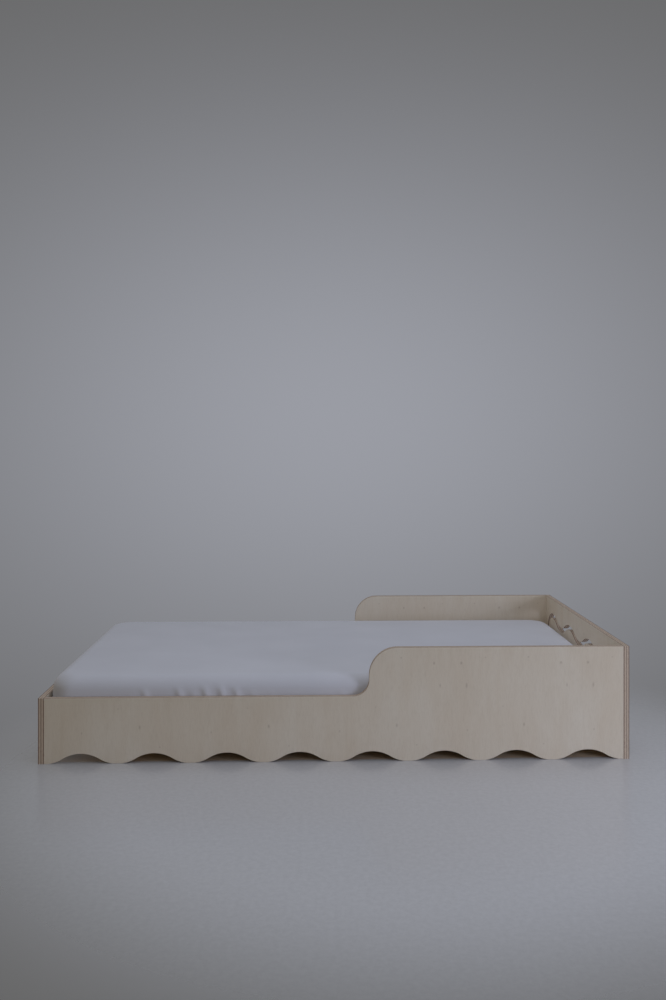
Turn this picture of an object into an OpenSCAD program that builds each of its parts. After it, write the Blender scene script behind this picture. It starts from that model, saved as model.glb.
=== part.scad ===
// Low floor bed for a child. Four plywood panels stand on scalloped lower edges round a slatted base,
// and a foam mattress in a fitted sheet lies inside. The long sides are low at the foot for climbing in
// and rise in an S-curve to the height of the headboard, which has a wavy slot cut through it.
// Millimetres, +Z up, +X towards the headboard, +Y towards the wall side.
// The origin is on the floor under the middle of the bed.

/* [Mattress] */
// Nominal length of the mattress
mattress_l = 1800; // [1400:10:2000]
// Nominal width of the mattress
mattress_w = 900; // [700:10:1000]
// Thickness of the mattress at its middle, with its sheet
mattress_t = 150; // [110:5:160]
// Radius of its soft upper edges
mattress_edge_r = 45; // [20:1:50]
// Radius of its lower edges
mattress_base_r = 20; // [12:1:25]
// Radius of its corners seen from above
mattress_corner_r = 75; // [40:5:90]
// Rise of its top from the edges to the middle
mattress_crown = 5; // [0:1:15]
// Swell of its walls at half their height
mattress_swell = 3; // [0:0.5:5]
// Thickness of the fitted sheet
sheet_t = 1; // [0.6:0.1:2]
// Width of the sheet's hem under the mattress
sheet_hem = 70; // [50:5:120]

/* [Panels] */
// Thickness of the plywood
ply_t = 18; // [16:1:24]
// Room round the mattress's nominal size, up to each panel
mattress_gap = 12; // [6:1:15]
// What the soft walls, which stand out past the nominal size, leave of that room
wall_gap = 2; // [1:0.5:5]
// Height of the headboard and of the sides beside it
head_h = 357; // [350:1:420]
// Height of the footboard and of the sides beside it
foot_h = 205; // [190:1:212]
// Length of the low part of each side, from the footboard
low_l = 966; // [700:1:1100]
// Radius of the hollow curve at the bottom of the rise
rise_low_r = 50; // [25:1:58]
// Radius of the round curve at the top of the rise
rise_high_r = 90; // [45:1:96]

/* [Scallops] */
// Height of the arches in the lower edges
arch_h = 31; // [15:1:40]
// Height cut flat from the feet between them
foot_flat = 1; // [0.5:0.5:3]
// Arches along each side
side_arches = 8; // [5:1:10]
// Arches along each end
end_arches = 4; // [3:1:5]

/* [Headboard slot] */
// Width of the slot
slot_w = 17; // [8:1:22]
// Height of the slot's crests above the floor
slot_crest_z = 291; // [270:1:310]
// Height from its troughs to its crests
slot_wave = 33; // [20:1:50]
// Radius of the turn at each end
slot_end_r = 64; // [40:1:70]
// Length of the straight tail after each turn
slot_tail = 18; // [5:1:40]

/* [Slatted base] */
// Height of the slats' tops above the floor
slat_top = 118; // [112:1:125]
// Number of slats
slat_n = 14; // [10:1:16]
// Width of a slat
slat_w = 70; // [50:5:80]
// Thickness of a slat
slat_t = 18; // [15:1:22]
// Rounding of the slats' and ledgers' long edges
slat_r = 2; // [1:0.5:4]
// Gap between a slat's end and the side
slat_end_gap = 2; // [1:0.5:5]
// Distance from the end panels to the first and the last slat
slat_margin = 25; // [10:1:40]
// Width of a ledger
ledger_w = 30; // [24:1:40]
// Height of a ledger
ledger_h = 30; // [26:1:34]
// Gap between a ledger's end and the end panel
ledger_end_gap = 5; // [2:1:15]
// Width of the webbing that spaces the slats
strap_w = 25; // [15:1:40]
// Thickness of the webbing
strap_t = 1.5; // [1:0.1:2.5]
// Distance of each webbing from the middle of the bed
strap_y = 300; // [150:5:320]

/* [Fasteners] */
// Radius of the corner bolts' shanks
bolt_r = 3; // [2.5:0.5:3.5]
// Length of the corner bolts under their heads
bolt_l = 60; // [50:1:70]
// Radius of their flat heads
bolt_head_r = 7.5; // [6:0.5:8]
// Thickness of their heads
bolt_head_t = 2.4; // [1.5:0.1:3]
// Radius of the hexagon sockets in their heads
bolt_socket_r = 2.3; // [1.5:0.1:2.8]
// Depth at which the heads lie below the panels' faces
bolt_sink = 0.5; // [0.2:0.1:2]
// Height of the lower bolts above the floor
bolt_low_z = 55; // [48:1:60]
// Distance from the footboard's top to its upper bolts
bolt_top_inset = 42; // [30:1:50]
// Height of the headboard's upper bolts, whose nuts lie hidden behind the mattress
head_bolt_z = 235; // [190:1:240]
// Radius of the barrel nuts
nut_r = 5; // [4.5:0.5:6]
// Length of the barrel nuts
nut_l = 13; // [10:1:14]
// Distance from the sides' ends to the barrel nuts
nut_inset = 34; // [25:1:38]
// Radius of the corner dowels
dowel_r = 4; // [3:0.5:5]
// Length of the corner dowels
dowel_l = 35; // [30:1:45]
// Depth of the dowels in the end panels
dowel_sink = 11; // [8:1:13]
// Radius of the wood screws' shanks
screw_r = 2; // [1.5:0.25:2.5]
// Radius of the wood screws' heads
screw_head_r = 4; // [3:0.25:5]
// Number of screws in each ledger
ledger_screw_n = 6; // [4:1:8]
// Distance from a ledger's ends to its outer screws
ledger_screw_inset = 110; // [90:5:200]
// Depth of the ledger screws' points in the sides
ledger_screw_bite = 12; // [8:1:14]
// Depth of the slat screws' points in the ledgers
slat_screw_bite = 17; // [10:1:22]
// Thickness of the staples' wire
staple_wire = 1.2; // [0.8:0.1:1.5]
// Width of the staples over their legs
staple_w = 12; // [8:1:16]
// Length of the staples' legs in the slats
staple_bite = 8; // [5:1:12]

/* [Hidden] */
// Clearances: round a bolt, round a nut, a dowel, a screw or a staple, and round the soft parts
bolt_gap = 0.5;
seat_gap = 0.1;
soft_gap = 0.3;
// How far a cut reaches past the face it opens, a bolt's bore past its end, and a dowel's bore at each end
cut_past = 1;
bore_past = 5;
dowel_play = 1;
// Largest turn between two points of a curve, in degrees
arc_step = 5;
// Rings of the soft parts over the crown, the upper edge, the wall and the lower edge, how much closer
// together those of the crown lie towards the edge, and points round a quarter of a ring's corner
crown_n = 4;
edge_n = 4;
wall_n = 4;
base_n = 3;
crown_spread = 1.5;
corner_n = 5;
// Half the width of the innermost ring, and the radius of its corners
patch_w = 20;
patch_r = 6;
inner_l = mattress_l + 2 * mattress_gap;
inner_w = mattress_w + 2 * mattress_gap;
mattress_bulge = mattress_gap - wall_gap;
outer_l = inner_l + 2 * ply_t;
outer_w = inner_w + 2 * ply_t;
slat_l = inner_w - 2 * slat_end_gap;
slat_pitch = (inner_l - 2 * slat_margin - slat_w) / (slat_n - 1);
slat_x0 = -inner_l / 2 + slat_margin + slat_w / 2;
slat_bottom = slat_top - slat_t;
ledger_l = inner_l - 2 * ledger_end_gap;
ledger_y = inner_w / 2 - ledger_w / 2;
ledger_z = slat_bottom - ledger_h / 2;
strap_l = (slat_n - 1) * slat_pitch + slat_w;
head_bolts = [bolt_low_z, head_bolt_z];
foot_bolts = [bolt_low_z, foot_h - bolt_top_inset];
bolt_seat = bolt_sink + bolt_head_t;
screw_head_t = screw_head_r - screw_r;

function slat_name(i) = str("slat_", i < 10 ? "0" : "", i);
function slat_x(i) = slat_x0 + (i - 1) * slat_pitch;

// Points on a circle, at angles from straight up, clockwise
function arc(x, z, r, from, to) =
    let (n = max(1, ceil(abs(to - from) / arc_step)))
    [for (k = [0:n]) let (a = from + (to - from) * k / n) [x + r * sin(a), z + r * cos(a)]];

// A wave is made of arcs that meet in its middle height, each turning wave_turn to either side
function wave_r(pitch, height) = (pow(pitch / 4, 2) + pow(height / 2, 2)) / height;
function wave_turn(pitch, height) = asin(pitch / 4 / wave_r(pitch, height));

// The lower edge of a board from its left end to its right: arches with a foot between each pair and
// half a foot at either end, every foot cut flat where it stands on the floor
function scallops(length, count) =
    let (pitch = length / count, height = arch_h + foot_flat, r = wave_r(pitch, height),
         turn = wave_turn(pitch, height), flat = acos((r - foot_flat) / r))
    [for (i = [0:count - 1]) each concat(
        arc(i * pitch, r - foot_flat, r, 180 - flat, 180 - turn),
        arc((i + 0.5) * pitch, arch_h - r, r, -turn, turn),
        arc((i + 1) * pitch, r - foot_flat, r, 180 + turn, 180 + flat))];

module end_outline(height)
    polygon(concat([[0, height], [0, 0]], scallops(outer_w, end_arches), [[outer_w, 0], [outer_w, height]]));

// The top edge runs from the headboard back to the footboard, down the round and the hollow curve
module side_outline() {
    rise_x = low_l + rise_low_r;
    polygon(concat([[0, foot_h], [0, 0]], scallops(inner_l, side_arches), [[inner_l, 0], [inner_l, head_h]],
        arc(rise_x + rise_high_r, head_h - rise_high_r, rise_high_r, 0, -90),
        arc(low_l, foot_h + rise_low_r, rise_low_r, 90, 180)));
}

// One long edge of the slot, at a distance from its centre line: a turned-down end, the waves with
// their crests over the arches, and the other turned-down end
function slot_edge(side) =
    let (pitch = outer_w / end_arches, r = wave_r(pitch, slot_wave), turn = wave_turn(pitch, slot_wave),
         first = pitch / 2, last = outer_w - pitch / 2, end_z = slot_crest_z - slot_end_r)
    concat(
        [[first - slot_end_r - side, end_z - slot_tail]],
        arc(first, end_z, slot_end_r + side, -90, 0),
        [for (i = [0:end_arches - 2]) let (x = first + i * pitch) each concat(
            arc(x, slot_crest_z - r, r + side, 0, turn),
            arc(x + pitch / 2, slot_crest_z - slot_wave + r, r - side, 180 + turn, 180 - turn),
            arc(x + pitch, slot_crest_z - r, r + side, -turn, 0))],
        arc(last, end_z, slot_end_r + side, 0, 90),
        [[last + slot_end_r + side, end_z - slot_tail]]);

module slot_outline() {
    lower = slot_edge(-slot_w / 2);
    tail_z = slot_crest_z - slot_end_r - slot_tail;
    tail_x = outer_w / end_arches / 2 - slot_end_r;
    polygon(concat(
        slot_edge(slot_w / 2),
        arc(outer_w - tail_x, tail_z, slot_w / 2, 90, 270),
        [for (i = [len(lower) - 1:-1:0]) lower[i]],
        arc(tail_x, tail_z, slot_w / 2, 90, 270)));
}

// Places something at each corner joint: its own +Z runs from the end panel's outer face into the side
module at_corners(foot_heights, head_heights)
    for (foot = [0, 1], front = [0, 1]) mirror([foot, 0, 0]) mirror([0, front, 0])
        for (z = foot == 1 ? foot_heights : head_heights)
            translate([outer_l / 2, (outer_w - ply_t) / 2, z]) rotate([0, -90, 0]) children();

module at_bolts() at_corners(foot_bolts, head_bolts) children();

module at_dowels() at_corners([(foot_bolts[0] + foot_bolts[1]) / 2], [(head_bolts[0] + head_bolts[1]) / 2])
    translate([0, 0, ply_t - dowel_sink]) children();

// The bores of the corner joints, cut from the panels
module corner_bores() {
    at_bolts() {
        translate([0, 0, -cut_past]) cylinder(r = bolt_head_r + bolt_gap, h = bolt_seat + cut_past, $fn = 48);
        cylinder(r = bolt_r + bolt_gap, h = bolt_seat + bolt_l + bore_past, $fn = 32);
        translate([0, 0, ply_t + nut_inset]) rotate([90, 0, 0])
            translate([0, 0, -nut_l / 2]) cylinder(r = nut_r + seat_gap, h = nut_l / 2 + ply_t, $fn = 32);
    }
    at_dowels() translate([0, 0, -dowel_play])
        cylinder(r = dowel_r + seat_gap, h = dowel_l + 2 * dowel_play, $fn = 32);
}

// A countersunk wood screw along +Z with its head's face at z = 0, and gap more all round for its bore
module screw(length, gap = 0) {
    cylinder(r = screw_r + gap, h = length + gap, $fn = 24);
    cylinder(r1 = screw_head_r + gap, r2 = screw_r + gap, h = screw_head_t, $fn = 32);
}

module at_ledger_screws() for (front = [0, 1]) mirror([0, front, 0]) for (i = [0:ledger_screw_n - 1])
    translate([(i / (ledger_screw_n - 1) - 0.5) * (ledger_l - 2 * ledger_screw_inset),
               ledger_y - ledger_w / 2, ledger_z]) rotate([-90, 0, 0]) children();

module at_slat_screws() for (foot = [0, 1], front = [0, 1]) mirror([foot, 0, 0]) mirror([0, front, 0])
    translate([slat_x(slat_n), ledger_y, slat_top]) rotate([180, 0, 0]) children();

module ledger_screw_shapes(gap = 0) at_ledger_screws() screw(ledger_w + ledger_screw_bite, gap);

module slat_screw_shapes(gap = 0) at_slat_screws() screw(slat_t + slat_screw_bite, gap);

// A staple below each crossing of a slat and a webbing, with its crown along the slat's width
module staple_shapes(gap = 0) for (i = [1:slat_n], y = [-strap_y, strap_y])
    translate([slat_x(i), y, slat_bottom - strap_t]) {
        for (s = [-1, 1]) translate([s * (staple_w - staple_wire) / 2, 0, 0])
            translate([-staple_wire / 2 - gap, -staple_wire / 2 - gap, -gap])
                cube([staple_wire + 2 * gap, staple_wire + 2 * gap, strap_t + staple_bite + 2 * gap]);
        if (gap == 0) translate([-staple_w / 2, -staple_wire / 2, -staple_wire])
            cube([staple_w, staple_wire, staple_wire]);
    }

module side_panel() color("burlywood") difference() {
    translate([-inner_l / 2, outer_w / 2, 0]) rotate([90, 0, 0]) linear_extrude(ply_t) side_outline();
    corner_bores();
    ledger_screw_shapes(seat_gap);
}

module side_panel_back() side_panel();

module side_panel_front() mirror([0, 1, 0]) side_panel();

module headboard() color("burlywood") difference() {
    translate([inner_l / 2, -outer_w / 2, 0]) rotate([90, 0, 90]) linear_extrude(ply_t) difference() {
        end_outline(head_h);
        slot_outline();
    }
    corner_bores();
}

module footboard() color("burlywood") difference() {
    translate([-outer_l / 2, -outer_w / 2, 0]) rotate([90, 0, 90]) linear_extrude(ply_t) end_outline(foot_h);
    corner_bores();
}

// A batten's cross-section with rounded long edges
module batten_outline(width, height) {
    square([width - 2 * slat_r, height], center = true);
    square([width, height - 2 * slat_r], center = true);
    for (x = [-1, 1], y = [-1, 1]) translate([x * (width / 2 - slat_r), y * (height / 2 - slat_r)])
        circle(slat_r, $fn = 24);
}

module ledger() color("wheat") difference() {
    translate([-ledger_l / 2, ledger_y, ledger_z]) rotate([90, 0, 90])
        linear_extrude(ledger_l) batten_outline(ledger_w, ledger_h);
    ledger_screw_shapes(seat_gap);
    slat_screw_shapes(seat_gap);
}

module ledger_back() ledger();

module ledger_front() mirror([0, 1, 0]) ledger();

module slat(i) color("wheat") difference() {
    translate([slat_x(i), slat_l / 2, slat_top - slat_t / 2]) rotate([90, 0, 0])
        linear_extrude(slat_l) batten_outline(slat_w, slat_t);
    slat_screw_shapes(seat_gap);
    staple_shapes(seat_gap);
}

module slat_strap(y) color("ivory") difference() {
    translate([-strap_l / 2, y - strap_w / 2, slat_bottom - strap_t]) cube([strap_l, strap_w, strap_t]);
    staple_shapes(seat_gap);
}

module strap_staples() color("silver") staple_shapes();

module corner_bolts() color("silver") at_bolts() difference() {
    union() {
        translate([0, 0, bolt_sink]) cylinder(r = bolt_head_r, h = bolt_head_t, $fn = 48);
        translate([0, 0, bolt_sink]) cylinder(r = bolt_r, h = bolt_head_t + bolt_l, $fn = 32);
    }
    translate([0, 0, bolt_sink - cut_past]) cylinder(r = bolt_socket_r, h = cut_past + bolt_head_t, $fn = 6);
}

module barrel_nuts() color("silver") at_bolts() translate([0, 0, ply_t + nut_inset]) difference() {
    rotate([90, 0, 0]) cylinder(r = nut_r, h = nut_l, center = true, $fn = 32);
    cylinder(r = bolt_r + seat_gap, h = 2 * (nut_r + cut_past), center = true, $fn = 32);
}

module corner_dowels() color("tan") at_dowels() cylinder(r = dowel_r, h = dowel_l, $fn = 32);

module ledger_screws() color("silver") ledger_screw_shapes();

module slat_screws() color("silver") slat_screw_shapes();

// The soft parts are stacks of rounded rectangles that shrink over the edges and up to the crown.
// Points of a ring: four corners and, between them, points that halve the long and the short sides
ring_n = 4 * (corner_n + 1) + 6;
function ring(inset, z) =
    let (x = mattress_l / 2 + mattress_bulge - inset, y = mattress_w / 2 + mattress_bulge - inset,
         r = max(mattress_corner_r - inset / 2, patch_r))
    concat(
        [[x, 0, z]], quarter(x, y, r, 0, z),
        [[x / 2, y, z], [-x / 2, y, z]], quarter(x, y, r, 90, z),
        [[-x, 0, z]], quarter(x, y, r, 180, z),
        [[-x / 2, -y, z], [x / 2, -y, z]], quarter(x, y, r, 270, z));
function quarter(x, y, r, start, z) = [for (k = [0:corner_n]) let (a = start + 90 * k / corner_n, m = start + 45)
    [sign(cos(m)) * (x - r) + r * cos(a), sign(sin(m)) * (y - r) + r * sin(a), z]];

// From the middle of the top over the edge, down the swelling wall and round the lower edge:
// the inset and the height of each ring, for a surface that lies in by depth
function soft_profile(depth) =
    let (bottom = slat_top + soft_gap + depth, edge_z = slat_top + soft_gap + mattress_t - mattress_crown - depth,
         half = mattress_w / 2 + mattress_bulge, r = mattress_edge_r - depth, b = mattress_base_r - depth,
         swell = mattress_swell, low = bottom + b, high = edge_z - r)
    concat(
        [for (k = [crown_n:-1:1])
            let (d = mattress_edge_r + (half - patch_w - mattress_edge_r) * pow(k / crown_n, crown_spread))
            [swell + d, edge_z + mattress_crown * sin(90 * (d - mattress_edge_r) / (half - mattress_edge_r))]],
        [for (k = [0:edge_n]) let (a = 90 * k / edge_n) [swell + depth + r * (1 - sin(a)), high + r * cos(a)]],
        [for (k = [1:wall_n - 1]) let (u = k / wall_n) [depth + swell * pow(2 * u - 1, 2), high + (low - high) * u]],
        [for (k = [0:base_n]) let (a = 90 * k / base_n) [swell + depth + b * (1 - cos(a)), low - b * sin(a)]]);

// Height of the crown's middle, for a surface that lies in by depth
function crown_z(depth) = slat_top + soft_gap + mattress_t - depth;

// A closed solid through rings, with a point over the first ring and, where last_z is given, one under
// the last: a shell's rings come back to its top, so it closes on a second point there
module soft_solid(profile, first_z, last_z) {
    rings = [for (p = profile) ring(p[0], p[1])];
    n = len(rings);
    polyhedron(
        points = concat([[0, 0, first_z]], [for (r = rings) each r], [[0, 0, last_z]]),
        faces = concat(
            [for (j = [0:ring_n - 1]) [0, 1 + (j + 1) % ring_n, 1 + j]],
            [for (i = [0:n - 2], j = [0:ring_n - 1]) let (a = 1 + i * ring_n, k = (j + 1) % ring_n)
                each [[a + j, a + k, a + ring_n + k], [a + j, a + ring_n + k, a + ring_n + j]]],
            [for (j = [0:ring_n - 1]) let (a = 1 + (n - 1) * ring_n) [a + j, a + (j + 1) % ring_n, 1 + n * ring_n]]));
}

core_depth = sheet_t + soft_gap;

module mattress_core() color("whitesmoke") {
    profile = soft_profile(core_depth);
    soft_solid(profile, crown_z(core_depth), slat_top + soft_gap + core_depth);
}

module fitted_sheet() color("white") {
    outside = soft_profile(0);
    inside = soft_profile(sheet_t);
    hem = [[sheet_hem, outside[len(outside) - 1][1]], [sheet_hem, inside[len(inside) - 1][1]]];
    soft_solid(concat(outside, hem, [for (i = [len(inside) - 1:-1:0]) inside[i]]), crown_z(0), crown_z(sheet_t));
}

side_panel_front();
side_panel_back();
headboard();
footboard();
ledger_front();
ledger_back();
for (i = [1:slat_n]) slat(i);
slat_strap(-strap_y);  // slat_strap_front
slat_strap(strap_y);  // slat_strap_back
strap_staples();
corner_bolts();
barrel_nuts();
corner_dowels();
ledger_screws();
slat_screws();
mattress_core();
fitted_sheet();
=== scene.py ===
# %% [markdown]
# # A low plywood bed for a child
# Four upright plywood boards stand on scalloped lower edges and hold a slatted base with a foam mattress in a
# fitted sheet. The CAD model is loaded first, as a frame that stays where it is, and this lesson dresses it:
# boards with eased edges and real veneer, pine slats, steel fasteners and a soft bed on top. All lengths are
# in metres.

# %% The frame
import math
import random
import bpy
import bmesh
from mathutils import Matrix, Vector


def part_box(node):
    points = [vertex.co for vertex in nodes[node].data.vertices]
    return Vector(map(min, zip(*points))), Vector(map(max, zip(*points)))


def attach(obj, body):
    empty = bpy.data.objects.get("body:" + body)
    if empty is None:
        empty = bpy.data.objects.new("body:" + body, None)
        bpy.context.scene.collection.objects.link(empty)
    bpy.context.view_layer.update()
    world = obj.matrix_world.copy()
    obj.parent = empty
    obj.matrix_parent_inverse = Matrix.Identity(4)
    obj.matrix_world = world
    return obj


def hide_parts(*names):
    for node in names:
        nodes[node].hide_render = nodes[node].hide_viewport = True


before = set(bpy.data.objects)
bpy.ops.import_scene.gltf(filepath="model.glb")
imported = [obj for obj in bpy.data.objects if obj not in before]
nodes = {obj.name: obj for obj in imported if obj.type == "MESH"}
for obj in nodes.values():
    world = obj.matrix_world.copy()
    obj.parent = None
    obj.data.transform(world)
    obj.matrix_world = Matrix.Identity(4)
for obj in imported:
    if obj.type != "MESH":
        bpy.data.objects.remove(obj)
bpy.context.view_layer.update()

# %% [markdown]
# ## The camera
# The picture was taken at sitting height, level, from the long side of the bed. A camera that looks straight
# ahead keeps upright edges upright, so the view is moved down the frame with the lens shift, not by tilting.

# %% The camera
CAMERA_SPOT = (-0.0727, -3.2881, 1.0024)  # from the middle of the bed's footprint
TURNED_RIGHT = 1.493  # degrees from the straight line across the bed
FOCAL_LENGTH = 32.16  # mm, with a 36 mm sensor along the picture's height
LENS_SHIFT = (-0.00335, -0.0573)  # shares of the picture's height

camera = bpy.data.objects.new("camera", bpy.data.cameras.new("camera"))
bpy.context.scene.collection.objects.link(camera)
bpy.context.scene.camera = camera
camera.location = CAMERA_SPOT
camera.rotation_euler = (math.radians(90), 0, math.radians(-TURNED_RIGHT))
camera.data.lens = FOCAL_LENGTH
camera.data.shift_x, camera.data.shift_y = LENS_SHIFT
bpy.context.scene.view_settings.view_transform = "Standard"
print("camera at", CAMERA_SPOT, "with a", FOCAL_LENGTH, "mm lens")

# %% [markdown]
# ## Small helpers
# Colours are written as sRGB hex values, as a paint chart gives them, but Blender's sockets take linear
# light, so one function turns them. Another adds a node with its settings and its links in one line, which
# keeps the trees below readable, and a third starts an empty tree for Geometry Nodes. Inputs that have no
# name of their own go by number: in Map Range, 1 and 2 are the limits it reads and 3 and 4 those it gives,
# and in Mix, 0 is the share and 6 and 7 are the two colours.

# %% Helpers
MATH, VECTOR, MIX, RANGE = "ShaderNodeMath", "ShaderNodeVectorMath", "ShaderNodeMix", "ShaderNodeMapRange"
NOISE, WAVES, BUMP = "ShaderNodeTexNoise", "ShaderNodeTexWave", "ShaderNodeBump"
COORDS, COMBINE, SEPARATE = "ShaderNodeTexCoord", "ShaderNodeCombineXYZ", "ShaderNodeSeparateXYZ"


def colour(hex_value, alpha=1):
    """An sRGB hex value as the linear colour that a socket takes."""
    parts = [int(hex_value[i:i + 2], 16) / 255 for i in (1, 3, 5)]
    return [p / 12.92 if p <= 0.04045 else ((p + 0.055) / 1.055) ** 2.4 for p in parts] + [alpha]


def add(tree, kind, inputs=None, **settings):
    """Adds a node. An input is a value, a socket to link from, or a node, for its first output."""
    made = tree.nodes.new(kind)
    for name, value in settings.items():
        setattr(made, name, value)
    for key, value in (inputs or {}).items():
        if isinstance(value, bpy.types.Node):
            value = value.outputs[0]
        if isinstance(value, bpy.types.NodeSocket):
            tree.links.new(value, made.inputs[key])
        else:
            made.inputs[key].default_value = value
    return made


def new_tree(name, inputs, output=("Geometry", "NodeSocketGeometry")):
    """An empty node group with named inputs, and its input and output nodes."""
    tree = bpy.data.node_groups.new(name, "GeometryNodeTree")
    for label, kind in inputs:
        tree.interface.new_socket(label, in_out="INPUT", socket_type="NodeSocket" + kind)
    tree.interface.new_socket(output[0], in_out="OUTPUT", socket_type=output[1])
    return tree, add(tree, "NodeGroupInput"), add(tree, "NodeGroupOutput")


# %% [markdown]
# ## Birch veneer
# The boards are birch plywood, sanded and finished with a matt clear lacquer. Its face is a peeled veneer:
# one long ribbon is cut from a turning log, so the same pin knots come back once for each turn of the log,
# here every 403 mm. The grain runs upright, pale cream with fine darker flecks and broad soft bands. The tree
# below reads the board's own coordinates: along the board, up it and into its thickness.

# %% Materials in general
def principled(name, **sockets):
    """A new material, its tree and its shader, with the values that are the same all over the surface."""
    made = bpy.data.materials.new(name)
    made.use_nodes = True
    shader = made.node_tree.nodes["Principled BSDF"]
    for label, value in sockets.items():
        shader.inputs[label.replace("_", " ")].default_value = value
    return made, made.node_tree, shader


def paint(tree, shader, base, *layers):
    """Colours a surface: a base tone and, over it, each layer's tint, as strong as its first value."""
    tone = colour(base)
    for strength, tint in layers:
        tone = add(tree, MIX, {0: strength, 6: tone, 7: colour(tint)}, data_type="RGBA").outputs[2]
    tree.links.new(tone, shader.inputs["Base Color"])


# %% Birch veneer
TURN = 0.403  # of veneer that one turn of the log gives
TURN_START = 0.106  # along the board, where a turn begins
# Pin knots in one turn: distance along, height, size, and how much they are drawn out upwards
KNOTS = [(0.415, 0.307, 0.85, 1.3), (0.501, 0.307, 0.9, 1.3), (0.434, 0.236, 0.7, 2.2),
         (0.518, 0.236, 0.8, 2.5), (0.311, 0.325, 0.7, 1), (0.175, 0.324, 0.6, 1), (0.297, 0.112, 0.8, 1.8),
         (0.117, 0.095, 0.6, 1.5), (0.23, 0.17, 0.5, 1.5), (0.36, 0.05, 0.6, 1)]
KNOT_RADIUS = 0.0064  # of a knot of size 1, out to where its stain ends

veneer, tree, shader = principled("birch veneer, sanded and lacquered", Roughness=0.52, IOR=1.5)
board = add(tree, "ShaderNodeAttribute", attribute_name="board").outputs["Vector"]
parts = add(tree, SEPARATE, {0: board})
# Three patterns, each with its cells per metre along, up and into the board. The flecks are vessels 1 mm
# wide, drawn 3 mm wide so that they show from across a room, and 24 mm long. The bands of the peeled sheet
# are 90 mm wide. The figure is where the knife crossed the growth rings.
patterns = []
for cells, form in (((330.0, 42.0, 60.0), {"Detail": 4.0, "Roughness": 0.7}),
                    ((11.0, 2.6, 20.0), {"Detail": 3.0, "Distortion": 0.6}),
                    ((60.0, 9.0, 40.0), {"Detail": 5.0, "Distortion": 1.2})):
    spread = add(tree, VECTOR, {0: board, 1: cells}, operation="MULTIPLY")
    patterns.append(add(tree, NOISE, {"Vector": spread, "Scale": 1.0, **form}))
flecks, bands, figure = patterns
unrolled = add(tree, MATH, {0: parts.outputs[0], 1: TURN_START}, operation="SUBTRACT")
turned = add(tree, COMBINE, {0: add(tree, MATH, {0: unrolled, 1: TURN, 2: 0.0}, operation="WRAP"),
                             1: parts.outputs[1]})
dark = 0.0
for along, up, size, drawn in KNOTS:
    place = ((along - TURN_START) % TURN, up, 0.0)
    away = add(tree, VECTOR, {0: turned, 1: place}, operation="SUBTRACT")
    away = add(tree, VECTOR, {0: away, 1: (1.0, 1 / drawn, 1.0)}, operation="MULTIPLY")
    distance = add(tree, VECTOR, {0: away}, operation="LENGTH").outputs["Value"]
    spot = add(tree, RANGE, {0: distance, 1: 0.0, 2: KNOT_RADIUS * size, 3: size, 4: 0.0},
               interpolation_type="SMOOTHSTEP")
    dark = add(tree, MATH, {0: dark, 1: spot}, operation="MAXIMUM")
paint(tree, shader, "#e9dcca",
      (add(tree, RANGE, {0: bands, 1: 0.3, 2: 0.7}), "#efe5d6"),
      (add(tree, RANGE, {0: figure, 1: 0.42, 2: 0.75, 4: 0.13}), "#cbb9a0"),
      (add(tree, RANGE, {0: flecks, 1: 0.48, 2: 0.76, 4: 0.17}), "#b29d85"),
      (add(tree, MATH, {0: dark, 1: 0.42}, operation="MULTIPLY"), "#957d67"))
bump = add(tree, BUMP, {"Height": flecks, "Strength": 0.12, "Distance": 0.0003})
tree.links.new(bump.outputs[0], shader.inputs["Normal"])
print(veneer.name, "has", len(tree.nodes), "nodes")

# %% [markdown]
# ## The cut edge of plywood
# Where the board is sawn, its thirteen plies show as stripes, 1.4 mm each: those with their grain along the
# edge are pale, and the end grain between them is darker and pinkish, with thin glue lines. The stripes
# follow the depth in the board: a colour ramp with hard steps gives each ply its own tone, and fibres vary it
# along.

# %% Plywood edge
PLY = 0.018  # thickness of the board
# How dark each ply is, from one face to the other. The two outer plies are darkest: partly their own colour
# and partly painted shade for the dark joint where two boards meet
PLIES = [1.0, 0.9, 0.2, 0.0, 0.15, 0.7, 0.45, 0.7, 0.15, 0.0, 0.2, 0.85, 1.0]
GLUE_SHARE = 0.1  # of each ply's thickness

edge, tree, shader = principled("birch plywood, cut edge", Roughness=0.62, IOR=1.5)
board = add(tree, "ShaderNodeAttribute", attribute_name="board").outputs["Vector"]
depth = add(tree, SEPARATE, {0: board}).outputs[2]
layer = add(tree, MATH, {0: depth, 1: PLY}, operation="DIVIDE")
stripes = add(tree, "ShaderNodeValToRGB", {0: layer})
ramp = stripes.color_ramp
ramp.interpolation = "CONSTANT"
for number, shade in enumerate(PLIES):
    stop = ramp.elements[number] if number < 2 else ramp.elements.new(number / len(PLIES))
    stop.position, stop.color = number / len(PLIES), (shade, shade, shade, 1)
# Fibres 11 mm long and 1 mm thick
fibres = add(tree, NOISE, {"Scale": 1.0, "Detail": 3.0, "Vector": add(
    tree, VECTOR, {0: board, 1: (90.0, 90.0, 900.0)}, operation="MULTIPLY")})
varied = add(tree, RANGE, {0: fibres, 1: 0.3, 2: 0.7, 3: -0.2, 4: 0.2})
shade = add(tree, MATH, {0: stripes, 1: varied}, operation="ADD", use_clamp=True)
in_ply = add(tree, MATH, {0: add(tree, MATH, {0: layer, 1: float(len(PLIES))}, operation="MULTIPLY")},
             operation="FRACT")
glue = add(tree, MATH, {0: in_ply, 1: GLUE_SHARE}, operation="LESS_THAN")
paint(tree, shader, "#e3d2bf", (shade, "#896b5e"),
      (add(tree, MATH, {0: glue, 1: 0.5}, operation="MULTIPLY"), "#5c443a"))
print(edge.name, "shows", len(PLIES), "plies in", PLY * 1000, "mm")

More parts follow.
